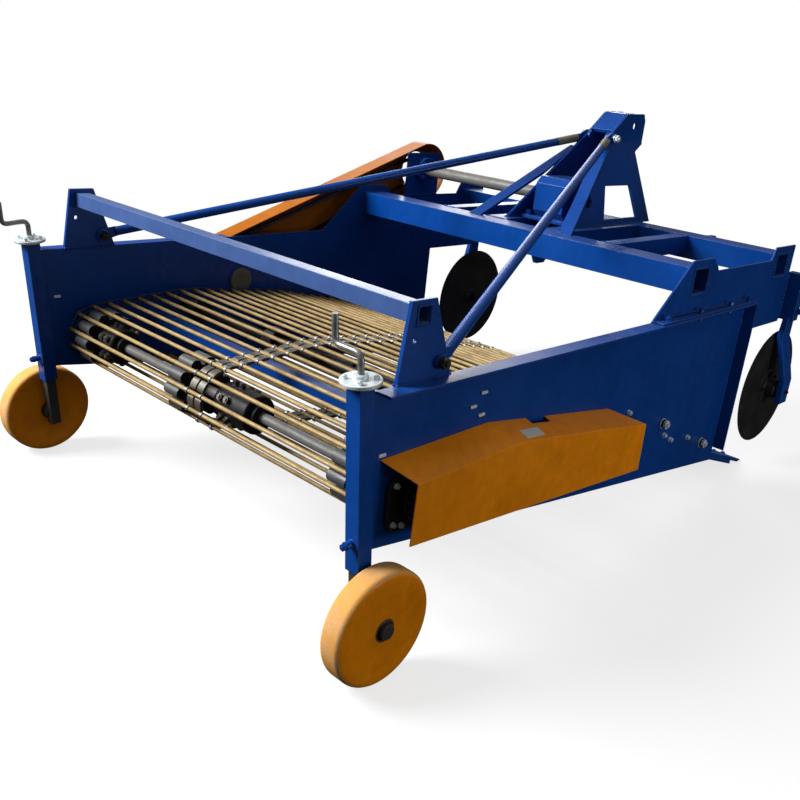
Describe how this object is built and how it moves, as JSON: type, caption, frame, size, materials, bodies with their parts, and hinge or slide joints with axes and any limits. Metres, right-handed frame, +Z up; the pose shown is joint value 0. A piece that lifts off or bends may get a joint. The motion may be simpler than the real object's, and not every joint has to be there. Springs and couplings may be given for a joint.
{
  "type": "mounted rod-web potato harvester",
  "caption": "Tractor-mounted potato harvester: blue box frame with a lifting rod web, digging share, coulter discs, orange chain covers and cranked depth wheels",
  "frame": {"origin": "centre of the footprint on the ground", "axes": "+X the machine's right, +Y forward to the tractor, +Z up"},
  "size_m": [1.584, 2.3774, 1.176],
  "materials": {
    "blue_paint": "gloss royal-blue paint",
    "orange_paint": "gloss orange-yellow paint",
    "web_steel": "oiled rod steel with a tan tint",
    "black_rubber": "moulded black rubber",
    "zinc": "zinc plating",
    "dark_steel": "dark cast iron",
    "bright_steel": "bare machined steel",
    "grey_paint": "grey primer paint",
    "chain_steel": "oiled chain steel"
  },
  "bodies": {
    "frame": {"side_plate_right": "blue_paint", "side_plate_left": "blue_paint", "head_plate_right": "blue_paint", "head_plate_left": "blue_paint", "rear_beam": "blue_paint", "front_beam": "blue_paint", "beam_ties": "blue_paint", "mast_plate_right": "blue_paint", "mast_plate_left": "blue_paint", "mast_head": "blue_paint", "mast_braces": "blue_paint", "gearbox_seat": "blue_paint", "gearbox": "dark_steel", "pto_shaft": "bright_steel", "cross_shaft": "grey_paint", "bearing_post": "blue_paint", "lower_link_right": "blue_paint", "lower_link_left": "blue_paint", "post_right": "blue_paint", "post_left": "blue_paint", "jack_flange_right": "zinc", "jack_flange_left": "zinc", "crank_right": "zinc", "crank_left": "zinc", "rear_bracket_right": "blue_paint", "rear_bracket_left": "blue_paint", "rear_cross_tube": "blue_paint", "stay_right": "blue_paint", "stay_left": "blue_paint", "rod_web": "web_steel", "drive_shaft": "black_rubber", "drive_bearings": "dark_steel", "roller_shaft_1": "black_rubber", "roller_shaft_2": "black_rubber", "roller_shaft_3": "black_rubber", "cross_member": "blue_paint", "guide_discs": "web_steel", "idler_shaft": "black_rubber", "shaker_shaft": "dark_steel", "chain_right": "chain_steel", "chain_left": "chain_steel", "chain_cover_right": "orange_paint", "chain_cover_left": "orange_paint", "share_blade": "blue_paint", "share_arms": "blue_paint", "coulter_leg_right": "blue_paint", "coulter_leg_left": "blue_paint"},
    "coulter_disc_left": {"coulter_disc_left": "dark_steel"},
    "coulter_disc_right": {"coulter_disc_right": "dark_steel"},
    "leg_left": {"leg_left": "grey_paint"},
    "leg_right": {"leg_right": "grey_paint"},
    "wheel_left": {"wheel_left": "orange_paint"},
    "wheel_right": {"wheel_right": "orange_paint"}
  },
  "joints": [
    {"name": "leg_right_slide", "type": "slide", "parent": "frame", "child": "leg_right", "axis": [0, -0.0958, 0.9954], "range_m": [-0.15, 0.025]},
    {"name": "wheel_right_turn", "type": "hinge", "parent": "leg_right", "child": "wheel_right", "pos_m": [0.752, -1.04434, 0.136], "axis": [1, 0, 0], "continuous": true},
    {"name": "coulter_right_turn", "type": "hinge", "parent": "frame", "child": "coulter_disc_right", "pos_m": [0.708, 0.97866, 0.294], "axis": [1, 0, 0], "continuous": true},
    {"name": "leg_left_slide", "type": "slide", "parent": "frame", "child": "leg_left", "axis": [0, -0.0958, 0.9954], "range_m": [-0.15, 0.025]},
    {"name": "wheel_left_turn", "type": "hinge", "parent": "leg_left", "child": "wheel_left", "pos_m": [-0.752, -1.04434, 0.136], "axis": [1, 0, 0], "continuous": true},
    {"name": "coulter_left_turn", "type": "hinge", "parent": "frame", "child": "coulter_disc_left", "pos_m": [-0.708, 0.97866, 0.294], "axis": [1, 0, 0], "continuous": true}
  ]
}
